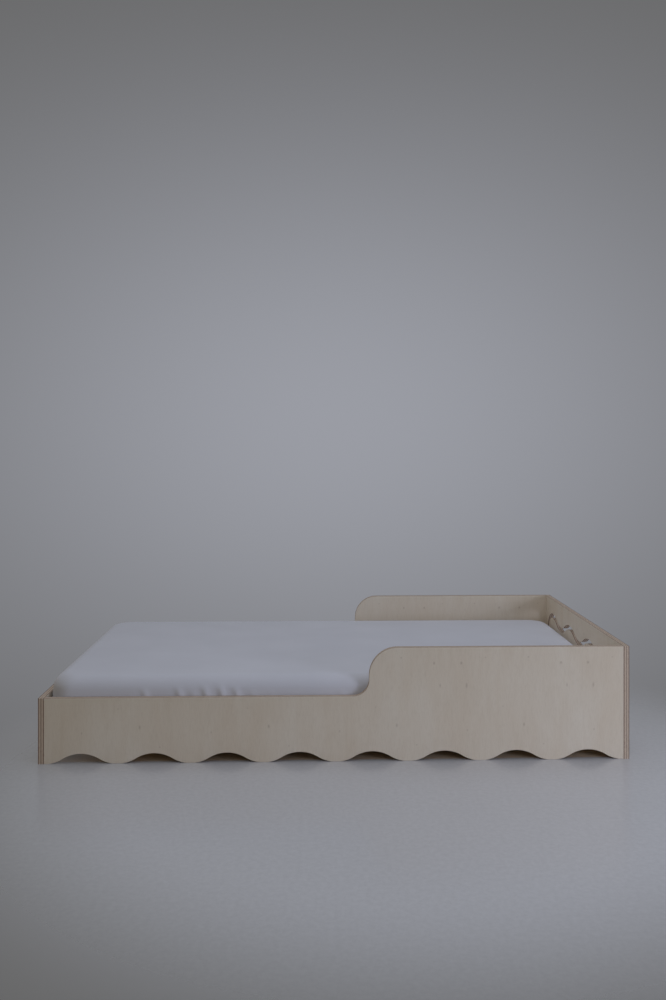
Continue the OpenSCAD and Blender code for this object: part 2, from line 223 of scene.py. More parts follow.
# %% [markdown]
# ## The rule of the wave
# Every lower edge is one continuous wave of equal arcs: an arch curves down until it meets, in the middle of
# the height, the arc of the foot beside it, and the two share their tangent there. A small node group holds
# that rule, because the boards' feet and the headboard's slot both follow it: from a distance along the edge,
# the pitch and the height of the wave it works out how high the edge is.

# %% The wave
wave, tin, tout = new_tree("arc wave", [("Along", "Float"), ("Pitch", "Float"), ("Height", "Float")],
                           ("Level", "NodeSocketFloat"))
along, pitch, height = (tin.outputs[label] for label in ("Along", "Pitch", "Height"))
quarter = add(wave, MATH, {0: pitch, 1: 4.0}, operation="DIVIDE")
half_pitch = add(wave, MATH, {0: quarter, 1: 2.0}, operation="MULTIPLY")
half_height = add(wave, MATH, {0: height, 1: 2.0}, operation="DIVIDE")
# An arc that falls by half the height over a quarter of the pitch has this radius
wide_2, high_2 = [add(wave, MATH, {0: side, 1: 2.0}, operation="POWER") for side in (quarter, half_height)]
squares = add(wave, MATH, {0: wide_2, 1: high_2}, operation="ADD")
radius = add(wave, MATH, {0: squares, 1: height}, operation="DIVIDE")
turns = add(wave, MATH, {0: add(wave, MATH, {0: along, 1: pitch}, operation="DIVIDE")}, operation="FRACT")
# Distance from the nearest crest, from 0 to half a pitch, and from the nearest crest or trough
off = add(wave, MATH, {0: add(wave, MATH, {0: turns, 1: 0.5}, operation="SUBTRACT")}, operation="ABSOLUTE")
from_crest = add(wave, MATH, {0: off, 1: pitch}, operation="MULTIPLY")
to_trough = add(wave, MATH, {0: half_pitch, 1: from_crest}, operation="SUBTRACT")
near = add(wave, MATH, {0: from_crest, 1: to_trough}, operation="MINIMUM")
# How far the arc has fallen at that distance
radius_2, near_2 = [add(wave, MATH, {0: side, 1: 2.0}, operation="POWER") for side in (radius, near)]
rest = add(wave, MATH, {0: radius_2, 1: near_2}, operation="SUBTRACT")
chord = add(wave, MATH, {0: rest}, operation="SQRT")
drop = add(wave, MATH, {0: radius, 1: chord}, operation="SUBTRACT")
crest = add(wave, MATH, {0: height, 1: drop}, operation="SUBTRACT")
on_crest = add(wave, MATH, {0: from_crest, 1: quarter}, operation="LESS_THAN")
level = add(wave, "GeometryNodeSwitch", {"Switch": on_crest, "False": drop, "True": crest},
            input_type="FLOAT")
wave.links.new(level.outputs[0], tout.inputs[0])
print("the wave is worked out by", len(wave.nodes), "nodes")

# %% [markdown]
# ## The outline of a board
# The lower edge is a straight line with many points, lifted by the wave and cut flat where it would pass the
# floor. The upper edge is a line of six corners, of which two are rounded with Fillet Curve: a hollow one and
# a full one, which make the S-curve where a child climbs in. Both are turned into edges, welded at their ends
# and read back as one closed curve.

# %% The outline
ARCH_STEPS, FILLET_STEPS = 48.0, 24  # points along each wave and round each radius
WELD = 0.00001  # points closer than this become one
OUTLINE = [("Length", "Float"), ("Foot Height", "Float"), ("Head Height", "Float"), ("Rise", "Float"),
           ("Hollow Radius", "Float"), ("Round Radius", "Float"), ("Arches", "Int"), ("Arch Height", "Float"),
           ("Foot Flat", "Float")]
outline, tin, tout = new_tree("scalloped outline", OUTLINE)
get = tin.outputs
line = add(outline, "GeometryNodeCurvePrimitiveLine", {"End": add(outline, COMBINE, {0: get["Length"]})})
along = add(outline, SEPARATE, {0: add(outline, "GeometryNodeInputPosition")}).outputs[0]
pitch = add(outline, MATH, {0: get["Length"], 1: get["Arches"]}, operation="DIVIDE")
height = add(outline, MATH, {0: get["Arch Height"], 1: get["Foot Flat"]})
level = add(outline, "GeometryNodeGroup", node_tree=wave)
for label, source in {"Along": along, "Pitch": pitch.outputs[0], "Height": height.outputs[0]}.items():
    outline.links.new(source, level.inputs[label])
above = add(outline, MATH, {0: level, 1: get["Foot Flat"]}, operation="SUBTRACT")
lifted = add(outline, MATH, {0: above, 1: 0.0}, operation="MAXIMUM")
steps = add(outline, MATH, {0: get["Arches"], 1: ARCH_STEPS, 2: 1.0}, operation="MULTIPLY_ADD")
lower = add(outline, "GeometryNodeSetPosition", {
    "Geometry": add(outline, "GeometryNodeResampleCurve", {"Curve": line, "Count": steps}, mode="COUNT"),
    "Offset": add(outline, COMBINE, {1: lifted})})

# %% The upper edge
# Its six corners are read off by their number: up, along, up, along and down again
index = add(outline, "GeometryNodeInputIndex")
corner_x, corner_z, fillet_r = [add(outline, "GeometryNodeIndexSwitch", data_type="FLOAT") for _ in range(3)]
for switch, values, count in [(corner_x, {1: get["Rise"], 2: get["Length"]}, 3),
                              (corner_z, {1: get["Foot Height"], 2: get["Head Height"]}, 4),
                              (fillet_r, {2: get["Hollow Radius"], 3: get["Round Radius"]}, 6)]:
    while len(switch.index_switch_items) < count:
        switch.index_switch_items.new()
    for number, value in values.items():
        outline.links.new(value, switch.inputs[str(number)])
pair = add(outline, "FunctionNodeIntegerMath", {0: index, 1: 2}, operation="DIVIDE_FLOOR")
next_one = add(outline, "FunctionNodeIntegerMath", {0: index, 1: 1}, operation="ADD")
next_pair = add(outline, "FunctionNodeIntegerMath", {0: next_one, 1: 2}, operation="DIVIDE_FLOOR")
for switch, number in ((corner_x, pair), (corner_z, next_pair), (fillet_r, index)):
    outline.links.new(number.outputs[0], switch.inputs["Index"])
corners = add(outline, "GeometryNodeSetPosition", {
    "Geometry": add(outline, "GeometryNodeResampleCurve", {"Curve": line, "Count": 6}, mode="COUNT"),
    "Position": add(outline, COMBINE, {0: corner_x, 1: corner_z})})
upper = add(outline, "GeometryNodeFilletCurve", {
    "Curve": corners, "Count": FILLET_STEPS, "Radius": fillet_r, "Limit Radius": True}, mode="POLY")
both = add(outline, "GeometryNodeJoinGeometry")
for part in (lower, upper):
    outline.links.new(add(outline, "GeometryNodeCurveToMesh", {"Curve": part}).outputs[0], both.inputs[0])
closed = add(outline, "GeometryNodeMeshToCurve", {"Mesh": add(
    outline, "GeometryNodeMergeByDistance", {"Geometry": both, "Distance": WELD})})
outline.links.new(closed.outputs[0], tout.inputs[0])
print("the outline takes", len(outline.nodes), "nodes")

# %% [markdown]
# ## The wavy slot
# The headboard's slot follows the same wave, from its first crest to its last, and turns down at both ends.
# Its centre line is made first, and then walked round once: a closed ring of points goes along it on one
# side, turns round the end, comes back on the other side and turns again. Each point samples the line and
# steps half the slot's width away from it, at an angle that says which side it is on.

# %% The slot's centre line
SLOT_POINTS, BEND_POINTS = 145, 24  # along the wave and round the turn at each end
SLOT = [("Length", "Float"), ("Arches", "Int"), ("Slot Width", "Float"), ("Slot Crest", "Float"),
        ("Slot Wave", "Float"), ("Slot Turn Radius", "Float"), ("Slot Tail", "Float")]
slot, tin, tout = new_tree("wavy slot", SLOT)
get = tin.outputs
pitch = add(slot, MATH, {0: get["Length"], 1: get["Arches"]}, operation="DIVIDE")
first = add(slot, MATH, {0: pitch, 1: 2.0}, operation="DIVIDE")
last = add(slot, MATH, {0: get["Length"], 1: first}, operation="SUBTRACT")
line = add(slot, "GeometryNodeCurvePrimitiveLine", {
    "Start": add(slot, COMBINE, {0: first}), "End": add(slot, COMBINE, {0: last})})
along = add(slot, SEPARATE, {0: add(slot, "GeometryNodeInputPosition")}).outputs[0]
level = add(slot, "GeometryNodeGroup", node_tree=wave)
for label, source in {"Along": along, "Pitch": pitch.outputs[0], "Height": get["Slot Wave"]}.items():
    slot.links.new(source, level.inputs[label])
trough = add(slot, MATH, {0: get["Slot Crest"], 1: get["Slot Wave"]}, operation="SUBTRACT")
middle = add(slot, "GeometryNodeSetPosition", {
    "Geometry": add(slot, "GeometryNodeResampleCurve", {"Curve": line, "Count": SLOT_POINTS}, mode="COUNT"),
    "Offset": add(slot, COMBINE, {1: add(slot, MATH, {0: trough, 1: level})})})
bend = add(slot, "GeometryNodeCurveArc", {
    "Resolution": BEND_POINTS, "Radius": get["Slot Turn Radius"], "Start Angle": math.radians(90),
    "Sweep Angle": math.radians(90)}, mode="RADIUS")
back, below = [add(slot, MATH, {0: get[label], 1: -1.0}, operation="MULTIPLY")
               for label in ("Slot Turn Radius", "Slot Tail")]
tail = add(slot, "GeometryNodeCurvePrimitiveLine", {
    "Start": add(slot, COMBINE, {0: back}), "End": add(slot, COMBINE, {0: back, 1: below})})
end = add(slot, "GeometryNodeJoinGeometry")
for part in (bend, tail):
    slot.links.new(add(slot, "GeometryNodeCurveToMesh", {"Curve": part}).outputs[0], end.inputs[0])
centre_z = add(slot, MATH, {0: get["Slot Crest"], 1: get["Slot Turn Radius"]}, operation="SUBTRACT")
whole = add(slot, "GeometryNodeJoinGeometry")
slot.links.new(add(slot, "GeometryNodeCurveToMesh", {"Curve": middle}).outputs[0], whole.inputs[0])
for x, side in ((first, 1.0), (last, -1.0)):
    placed = add(slot, "GeometryNodeTransform", {
        "Geometry": end, "Scale": (side, 1.0, 1.0), "Translation": add(slot, COMBINE, {0: x, 1: centre_z})})
    slot.links.new(placed.outputs[0], whole.inputs[0])
centre = add(slot, "GeometryNodeMeshToCurve", {"Mesh": add(
    slot, "GeometryNodeMergeByDistance", {"Geometry": whole, "Distance": WELD})})

# %% The ring round it
SIDE, CAP = 260, 12  # points along each side and round each end
index = add(slot, "GeometryNodeInputIndex")
# How much of each leg of the walk a point has behind it, from 0 to 1
leg = []
for start, count in ((0, SIDE), (SIDE, CAP), (SIDE + CAP, SIDE), (2 * SIDE + CAP, CAP)):
    walked = add(slot, MATH, {0: index, 1: float(start)}, operation="SUBTRACT")
    leg.append(add(slot, MATH, {0: walked, 1: float(count)}, operation="DIVIDE", use_clamp=True))
factor = add(slot, MATH, {0: leg[0], 1: leg[2]}, operation="SUBTRACT")
turned = add(slot, MATH, {0: leg[1], 1: leg[3]})
angle = add(slot, MATH, {0: turned, 1: -math.pi, 2: math.pi / 2}, operation="MULTIPLY_ADD")
sample = add(slot, "GeometryNodeSampleCurve", {"Curves": centre, "Factor": factor}, mode="FACTOR")
step = add(slot, "ShaderNodeVectorRotate", {"Vector": sample.outputs["Tangent"], "Angle": angle},
           rotation_type="Z_AXIS")
half_width = add(slot, MATH, {0: get["Slot Width"], 1: 2.0}, operation="DIVIDE")
away = add(slot, VECTOR, {0: step, "Scale": half_width}, operation="SCALE")
circle = add(slot, "GeometryNodeCurvePrimitiveCircle", {"Resolution": 2 * (SIDE + CAP)}, mode="RADIUS")
walk = add(slot, "GeometryNodeSetPosition", {"Geometry": circle, "Position": add(
    slot, VECTOR, {0: sample.outputs["Position"], 1: away}, operation="ADD")})
slot.links.new(walk.outputs[0], tout.inputs[0])
print("the slot takes", len(slot.nodes), "nodes")

# %% [markdown]
# ## A board
# The outline, the slot and the bolts' bores are filled as one flat face, which is pushed out to the thickness
# of the plywood. The flat face itself closes the back. Faces that look along the thickness get the veneer and
# all others the cut edge. A Bevel modifier then takes the sharpness off, as sandpaper does, and a last small
# tree stores the board's own coordinates before it turns the board upright and puts it in its place.

# %% The board trees
BORE_POINTS = 48
BORES = [("Bored", "Bool"), ("Bore Radius", "Float"), ("Bore Inset", "Float"), ("Low Bore", "Float"),
         ("High Bore", "Float")]
board_tree, tin, tout = new_tree("plywood board", OUTLINE + [("Thickness", "Float"), ("Slotted", "Bool")]
                                 + SLOT[2:] + BORES + [("Face", "Material"), ("Edge", "Material")])
get = tin.outputs
shape = add(board_tree, "GeometryNodeGroup", node_tree=outline)
cut = add(board_tree, "GeometryNodeGroup", node_tree=slot)
for group, labels in ((shape, OUTLINE), (cut, SLOT)):
    for label, _ in labels:
        board_tree.links.new(get[label], group.inputs[label])
span_x = add(board_tree, MATH, {0: get["Bore Inset"], 1: -2.0, 2: get["Length"]}, operation="MULTIPLY_ADD")
span_z = add(board_tree, MATH, {0: get["High Bore"], 1: get["Low Bore"]}, operation="SUBTRACT")
middle = add(board_tree, COMBINE, {
    0: add(board_tree, MATH, {0: get["Length"], 1: 2.0}, operation="DIVIDE"),
    1: add(board_tree, MATH, {0: span_z, 1: 0.5, 2: get["Low Bore"]}, operation="MULTIPLY_ADD")})
grid = add(board_tree, "GeometryNodeMeshGrid", {
    "Size X": span_x, "Size Y": span_z, "Vertices X": 2, "Vertices Y": 2})
spots = add(board_tree, "GeometryNodeTransform", {"Geometry": grid, "Translation": middle})
bores = add(board_tree, "GeometryNodeRealizeInstances", {0: add(board_tree, "GeometryNodeInstanceOnPoints", {
    "Points": spots, "Instance": add(board_tree, "GeometryNodeCurvePrimitiveCircle", {
        "Resolution": BORE_POINTS, "Radius": get["Bore Radius"]}, mode="RADIUS")})})
curves = add(board_tree, "GeometryNodeJoinGeometry")
board_tree.links.new(shape.outputs[0], curves.inputs[0])
for switch, part in (("Slotted", cut), ("Bored", bores)):
    kept = add(board_tree, "GeometryNodeSwitch", {"Switch": get[switch], "True": part}, input_type="GEOMETRY")
    board_tree.links.new(kept.outputs[0], curves.inputs[0])
flat = add(board_tree, "GeometryNodeFillCurve", {0: curves}, mode="NGONS")
raised = add(board_tree, "GeometryNodeExtrudeMesh", {
    "Mesh": flat, "Offset Scale": get["Thickness"], "Individual": False}, mode="FACES")
shell = add(board_tree, "GeometryNodeJoinGeometry")
for part in (raised, add(board_tree, "GeometryNodeFlipFaces", {0: flat})):
    board_tree.links.new(part.outputs[0], shell.inputs[0])
smooth = add(board_tree, "GeometryNodeSetShadeSmooth", {"Geometry": add(
    board_tree, "GeometryNodeMergeByDistance", {"Geometry": shell, "Distance": WELD})})
normal = add(board_tree, SEPARATE, {0: add(board_tree, "GeometryNodeInputNormal")})
facing = add(board_tree, MATH, {0: normal.outputs[2]}, operation="ABSOLUTE")
sawn = add(board_tree, MATH, {0: facing, 1: 0.5}, operation="LESS_THAN")
faced = add(board_tree, "GeometryNodeSetMaterial", {"Geometry": add(
    board_tree, "GeometryNodeRealizeInstances", {0: smooth}), "Material": get["Face"]})
edged = add(board_tree, "GeometryNodeSetMaterial", {
    "Geometry": faced, "Selection": sawn, "Material": get["Edge"]})
board_tree.links.new(edged.outputs[0], tout.inputs[0])

standing, tin, tout = new_tree("stand the board up", [
    ("Geometry", "Geometry"), ("Turn", "Vector"), ("Place", "Vector")])
own_place = add(standing, "GeometryNodeInputPosition")
stored = add(standing, "GeometryNodeStoreNamedAttribute", {
    "Geometry": tin.outputs["Geometry"], "Name": "board", "Value": own_place},
    data_type="FLOAT_VECTOR", domain="POINT")
stood = add(standing, "GeometryNodeTransform", {
    "Geometry": stored, "Rotation": tin.outputs["Turn"], "Translation": tin.outputs["Place"]})
standing.links.new(stood.outputs[0], tout.inputs[0])
print("the board's trees take", len(board_tree.nodes) + len(standing.nodes), "nodes")

# %% [markdown]
# ## Baking a tree to a mesh
# An object with modifiers is only a recipe. Other programs need the finished mesh, so one function sets
# each tree's inputs by their identifiers, lets Blender work the object out once and keeps the result as
# plain faces.

# %% Baking
def bake(name, *steps):
    """Makes an object from modifiers, given as (tree, inputs) or (kind, settings), and keeps its mesh."""
    made = bpy.data.objects.new(name, bpy.data.meshes.new(name))
    bpy.context.scene.collection.objects.link(made)
    for what, values in steps:
        if isinstance(what, str):
            step = made.modifiers.new(what, what)
            for label, value in values.items():
                setattr(step, label, value)
            continue
        step = made.modifiers.new(what.name, "NODES")
        step.node_group = what
        sockets = {s.name: s.identifier for s in what.interface.items_tree if s.in_out == "INPUT"}
        for label, value in values.items():
            step[sockets[label]] = value
    bpy.context.view_layer.update()
    depsgraph = bpy.context.evaluated_depsgraph_get()
    baked = bpy.data.meshes.new_from_object(
        made.evaluated_get(depsgraph), preserve_all_data_layers=True, depsgraph=depsgraph)
    made.modifiers.clear()
    made.data = baked
    baked.name = name
    print(f"{name}: {len(baked.polygons)} faces, {[m and m.name for m in baked.materials]}")
    return made


# %% [markdown]
# ## The four boards
# The two long boards are the same, one at the front and one at the back. The end boards cap them, which is
# why the plies of the end boards show in the front view as two narrow striped strips. Only the long boards
# are lower at the foot: an end board's two heights are the same, so its rise makes no step. The sizes of the
# slot and the bores count only where a board is slotted or bored.

# %% The four boards
EASED = 0.0009  # that sanding takes off each corner
UPRIGHT = math.radians(90)
lo, hi = {}, {}
for name in ("side_panel_front", "side_panel_back", "headboard", "footboard"):
    lo[name], hi[name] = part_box(name)
easing = ("BEVEL", {"width": EASED, "segments": 2, "limit_method": "ANGLE", "angle_limit": math.radians(40),
                    "harden_normals": True})
common = {"Hollow Radius": 0.050, "Round Radius": 0.090, "Arch Height": 0.031, "Foot Flat": 0.001,
          "Thickness": PLY, "Slot Width": 0.017, "Slot Crest": 0.291, "Slot Wave": 0.033,
          "Slot Turn Radius": 0.064, "Slot Tail": 0.018, "Bore Radius": 0.008, "Bore Inset": PLY / 2,
          "Low Bore": 0.055, "Face": veneer, "Edge": edge}
long_side = {"Arches": 8, "Rise": 1.016, "Foot Height": hi["footboard"].z}
end_side = {"Arches": 4, "Rise": 0.5, "Bored": True}
# The place says, for each axis, to which end of the board's box its own origin comes
for name, extra, turn, place in [
        ("side_panel_front", long_side, 0, (lo, hi, lo)),
        ("side_panel_back", long_side, 0, (lo, hi, lo)),
        ("headboard", {**end_side, "Slotted": True, "High Bore": 0.235}, UPRIGHT, (lo, lo, lo)),
        ("footboard", {**end_side, "High Bore": 0.163}, UPRIGHT, (lo, lo, lo))]:
    size = hi[name] - lo[name]
    own = {"Length": max(size.x, size.y), "Foot Height": size.z, "Head Height": size.z}
    corner = [side[name][axis] for axis, side in enumerate(place)]
    piece = bake("plywood_" + name, (board_tree, {**common, **own, **extra}), easing,
                 (standing, {"Turn": (UPRIGHT, 0.0, turn), "Place": corner}))
    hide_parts(name)
    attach(piece, "bed_frame")

# %% [markdown]
# ## The mattress and its sheet
# A foam block has soft edges, a slight crown and walls that swell a little. A fitted sheet is cut larger than
# the block and its elastic hem is drawn in under it, so the top is taut and flat while short creases run up
# from the pulled hem. Both are made of closed rings round the bed, from the middle of the top down the wall
# and under, because rings follow the edges and let a crease fade out upwards.

# %% Rings
lo_sheet, hi_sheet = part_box("fitted_sheet")
LONG, SHORT, ROUND = 300, 120, 10  # points along a long side, a short side and round a corner
HALF = 2 * ROUND + LONG + SHORT  # points in half a ring
CORNER_R, LEAST_R = 0.075, 0.006  # corner radius outside, and the least one of the rings on the top
EDGE_R, BASE_R = 0.045, 0.020  # radius round the top and the bottom edge
CROWN, SWELL = 0.005, 0.003  # how far the top rises in the middle and the walls stand out
TOP_REACH = 0.400  # from the top's edge in to the last ring
CROWN_REACH = 0.415  # from the top's edge in to the middle, across the bed
TOP_STEPS, EDGE_STEPS, WALL_STEPS, BASE_STEPS, HEM_STEPS = 10, 10, 12, 5, 3


def ring(inset):
    """Points of a rounded rectangle that lies in by inset, counter-clockwise, with outward directions."""
    x, y, r = hi_sheet.x - inset, hi_sheet.y - inset, max(CORNER_R - inset / 2, LEAST_R)
    points = []
    for i, (sx, sy) in enumerate(((1, 1), (-1, 1), (-1, -1), (1, -1))):
        mid_x, mid_y = sx * (x - r), sy * (y - r)
        for k in range(ROUND):
            a = math.pi / 2 * (i + k / ROUND)
            points.append((mid_x + r * math.cos(a), mid_y + r * math.sin(a), math.cos(a), math.sin(a)))
        a = math.pi / 2 * (i + 1)
        nx, ny = round(math.cos(a)), round(math.sin(a))
        length, steps = (2 * (y - r), SHORT) if i % 2 else (2 * (x - r), LONG)
        points += [(mid_x + r * nx - ny * length * k / steps, mid_y + r * ny + nx * length * k / steps,
                    nx, ny) for k in range(steps)]
    return points


def profile(depth, hem):
    """Inset and height of each ring, for a surface that lies in by depth and ends at hem under the block."""
    top, bottom = hi_sheet.z - CROWN - depth, lo_sheet.z + depth
    edge_r, base_r = EDGE_R - depth, BASE_R - depth
    insets = [EDGE_R + TOP_REACH * (k / TOP_STEPS) ** 1.5 for k in range(TOP_STEPS, 0, -1)]
    rows = [(SWELL + d, top + CROWN * math.sin(math.pi / 2 * (d - EDGE_R) / CROWN_REACH)) for d in insets]
    rows += [(SWELL + depth + edge_r * (1 - math.sin(a)), top - edge_r + edge_r * math.cos(a))
             for a in (math.pi / 2 * k / EDGE_STEPS for k in range(EDGE_STEPS + 1))]
    high, low = top - edge_r, bottom + base_r
    rows += [(depth + SWELL * (2 * k / WALL_STEPS - 1) ** 2, high + (low - high) * k / WALL_STEPS)
             for k in range(1, WALL_STEPS)]
    rows += [(SWELL + depth + base_r * (1 - math.cos(a)), low - base_r * math.sin(a))
             for a in (math.pi / 2 * k / BASE_STEPS for k in range(BASE_STEPS + 1))]
    turned = SWELL + BASE_R
    return rows + [(turned + (hem - turned) * k / HEM_STEPS, bottom) for k in range(1, HEM_STEPS + 1)]


# %% From rings to a mesh
def soft_mesh(name, rows, shift=None, closed=False):
    """Joins rings to a mesh with a strip over the middle of the top, and one below where it is closed."""
    rings = [ring(inset) for inset, _ in rows]
    count = 2 * HALF
    verts = [shift(x, y, z, nx, ny) if shift else (x, y, z)
             for (_, z), points in zip(rows, rings) for x, y, nx, ny in points]
    faces = [(i + j, i + count + j, i + count + (j + 1) % count, i + (j + 1) % count)
             for i in range(0, (len(rings) - 1) * count, count) for j in range(count)]
    for start in [0, (len(rings) - 1) * count] if closed else [0]:
        left = [start + ROUND + k for k in range(LONG + 1)]
        right = [start + HALF + ROUND + LONG - k for k in range(LONG + 1)]
        faces += [(left[k], left[k + 1], right[k + 1], right[k]) for k in range(LONG)]
        faces.append([start + j for j in range(ROUND + LONG, HALF + ROUND + 1)])
        faces.append([start + j % count for j in range(HALF + ROUND + LONG, count + ROUND + 1)])
    mesh = bpy.data.meshes.new(name)
    mesh.from_pydata(verts, [], faces)
    work = bmesh.new()
    work.from_mesh(mesh)
    bmesh.ops.recalc_face_normals(work, faces=work.faces)
    work.to_mesh(mesh)
    work.free()
    mesh.shade_smooth()
    made = bpy.data.objects.new(name, mesh)
    bpy.context.scene.collection.objects.link(made)
    print(f"{name}: {len(rings)} rings of {count} points")
    return made


# %% Creases
# Where the elastic pulls, short folds stand out and lean up the wall: distance along, how far up, how high
CREASES = [(-0.600, 0.028, 0.0040), (-0.492, 0.034, 0.0042), (-0.450, 0.020, 0.0020),
           (-0.408, 0.038, 0.0046), (-0.358, 0.040, 0.0048), (-0.311, 0.034, 0.0040),
           (-0.262, 0.018, 0.0020), (-0.205, 0.014, 0.0012), (0.02, 0.016, 0.0012)]
RIM = 0.206  # height of the low panel's upper edge, from which the folds are measured
FOLDS_FROM, FOLDS_TO = 0.01, 0.25  # height over the block's bottom and over the floor
FOLD_WIDTH, FOLD_REACH = 0.0105, 5  # and how many widths a fold reaches to each side
LEAN = 0.3  # sideways for each metre up
# The groove beside each fold: its depth as a share of the fold's, and its place and width in fold widths
GROOVE_DEPTH, GROOVE_PLACE, GROOVE_WIDTH = 0.22, 1.7, 0.9
# The folds out of sight, on the back wall and on the two ends, are drawn by chance
chance = random.Random(7)
hidden = [(chance.uniform(-0.8, 0.8), chance.uniform(0.015, 0.04), chance.uniform(0.001, 0.004))
          for _ in range(16)]
ends = [(chance.uniform(-0.36, 0.36), chance.uniform(0.01, 0.03), chance.uniform(0.001, 0.003))
        for _ in range(10)]


def crease(x, y, z, nx, ny):
    """Lifts a point of the wall where a fold passes it, and draws it in a little beside the fold."""
    if not lo_sheet.z + FOLDS_FROM < z < FOLDS_TO:
        return x, y, z
    along, rows = (x, CREASES if ny < 0 else hidden) if abs(ny) > abs(nx) else (y, ends)
    move = 0.0
    for place, tall, high in rows:
        off = (along - place + LEAN * (z - RIM)) / FOLD_WIDTH
        if abs(off) < FOLD_REACH:
            up = min(max((RIM + tall - z) / tall, 0), 1)
            groove = GROOVE_DEPTH * math.exp(-((off + GROOVE_PLACE) / GROOVE_WIDTH) ** 2)
            move += high * up * up * (3 - 2 * up) * (math.exp(-off * off) - groove)
    return x + nx * move, y + ny * move, z


# %% [markdown]
# ## Cotton and foam
# The sheet is a close, matt cotton percale. Its threads are 0.3 mm apart, finer than the picture can show, so
# they are drawn 9 mm apart and faint, with a very soft unevenness over them. The core is cut polyurethane
# foam, cream coloured, with open cells, drawn 2 mm wide.

# %% Cotton and foam
WAVE_LENGTH = 2 * math.pi / 20  # from crest to crest in a wave texture of scale 1
THREADS_APART = 0.009425  # as drawn
cotton, tree, shader = principled("white cotton percale", Roughness=0.85, IOR=1.45, Sheen_Weight=0.15,
                                  Sheen_Roughness=0.5)
place = add(tree, COORDS).outputs["Object"]
warp, weft = [add(tree, WAVES, {"Vector": place, "Scale": WAVE_LENGTH / THREADS_APART, "Distortion": 0.4},
                  bands_direction=axis) for axis in "XY"]
weave = add(tree, MATH, {0: warp.outputs["Fac"], 1: weft.outputs["Fac"]}, operation="MULTIPLY")
uneven = add(tree, NOISE, {"Vector": place, "Scale": 5.0, "Detail": 2.0})
paint(tree, shader, "#dddfeb", (add(tree, RANGE, {0: uneven, 1: 0.3, 2: 0.7}), "#e2e4f0"))
soft = add(tree, BUMP, {"Height": uneven, "Strength": 0.1, "Distance": 0.004})
fine = add(tree, BUMP, {"Height": weave, "Strength": 0.08, "Distance": 0.0003, "Normal": soft})
tree.links.new(fine.outputs[0], shader.inputs["Normal"])

foam, tree, shader = principled("cut polyurethane foam", Roughness=0.95, IOR=1.4)
place = add(tree, COORDS).outputs["Object"]
cells = add(tree, "ShaderNodeTexVoronoi", {"Vector": place, "Scale": 500.0})
paint(tree, shader, "#e3d8b8", (cells, "#f4ecd2"))
pores = add(tree, BUMP, {"Height": cells, "Strength": 0.5, "Distance": 0.001})
tree.links.new(pores.outputs[0], shader.inputs["Normal"])

# %% The soft pieces
CLOTH = 0.0009  # thickness of the cotton, as drawn
CORE_DEPTH = 0.0022  # of the foam's skin inside the sheet's
CORE_HEM, SHEET_HEM = 0.12, 0.07  # how far in each surface ends under the block
core = soft_mesh("foam_core", profile(CORE_DEPTH, CORE_HEM), closed=True)
core.data.materials.append(foam)
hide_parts("mattress_core")
sheet = soft_mesh("cotton_sheet", profile(0.0, SHEET_HEM), crease)
sheet.data.materials.append(cotton)
thick = sheet.modifiers.new("cloth thickness", "SOLIDIFY")
thick.thickness, thick.offset = CLOTH, -1.0
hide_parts("fitted_sheet")
for piece, finish in ((core, "foam"), (sheet, "cotton")):
    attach(piece, "mattress")

# %% [markdown]
# ## Pine, beech, webbing and steel
# What lies under the mattress keeps its CAD shape and gets its finish. The slats and the ledgers are planed
# pine, with growth rings drawn out along the piece; a whole number that counts the slats shifts the pattern
# from one to the next, so that no two look alike. The webbing is woven polypropylene, and the fasteners are
# zinc-plated.

# %% Pine and beech
RING_STRETCH = (40.0, 2.2)  # pattern per metre across the grain, where the rings are 9 mm apart, and along it
JUMP = 3.0  # the furthest that the pattern shifts from one piece to the next


def timber(name, across, along, pitch):
    """Wood whose grain runs along one axis. The pattern jumps after each pitch across."""
    made, tree, shader = principled(name, Roughness=0.55, IOR=1.5)
    place = add(tree, COORDS).outputs["Object"]
    parts = add(tree, SEPARATE, {0: place})
    number = add(tree, MATH, {0: add(tree, MATH, {0: parts.outputs[across], 1: pitch}, operation="DIVIDE")},
                 operation="FLOOR")
    chance = add(tree, "ShaderNodeTexWhiteNoise", {"W": number}, noise_dimensions="1D")
    jump = add(tree, VECTOR, {0: chance.outputs["Color"], "Scale": JUMP}, operation="SCALE")
    moved = add(tree, VECTOR, {0: place, 1: jump}, operation="ADD")
    stretch = [RING_STRETCH[0]] * 3
    stretch[along] = RING_STRETCH[1]
    drawn = add(tree, VECTOR, {0: moved, 1: stretch}, operation="MULTIPLY")
    rings = add(tree, WAVES, {
        "Vector": drawn, "Scale": 0.9, "Distortion": 7.0, "Detail": 3.0, "Detail Scale": 0.7},
        bands_direction="XYZ"[across], wave_profile="SAW")
    pores = add(tree, NOISE, {"Scale": 14.0, "Detail": 4.0, "Vector": drawn})
    late = add(tree, RANGE, {0: rings.outputs["Fac"], 1: 0.35, 2: 1.0}, interpolation_type="SMOOTHSTEP")
    paint(tree, shader, "#ecd6ab", (add(tree, MATH, {0: late, 1: 0.75}, operation="MULTIPLY"), "#cfa269"),
          (add(tree, RANGE, {0: pores, 1: 0.45, 2: 0.8, 4: 0.5}), "#b98a57"))
    rough = add(tree, BUMP, {"Height": pores, "Strength": 0.15, "Distance": 0.0003})
    tree.links.new(rough.outputs[0], shader.inputs["Normal"])
    return made


slats = sorted(n for n in nodes if n.startswith("slat_") and n[5:].isdigit())
slat_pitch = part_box(slats[1])[0].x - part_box(slats[0])[0].x
pine_slat = timber("planed pine, across the bed", 0, 1, slat_pitch)
# The ledgers and the dowels change their pattern from one side of the bed to the other
pine_ledger = timber("planed pine, along the bed", 1, 0, 0.5)
beech = timber("turned beech", 1, 0, 0.2)

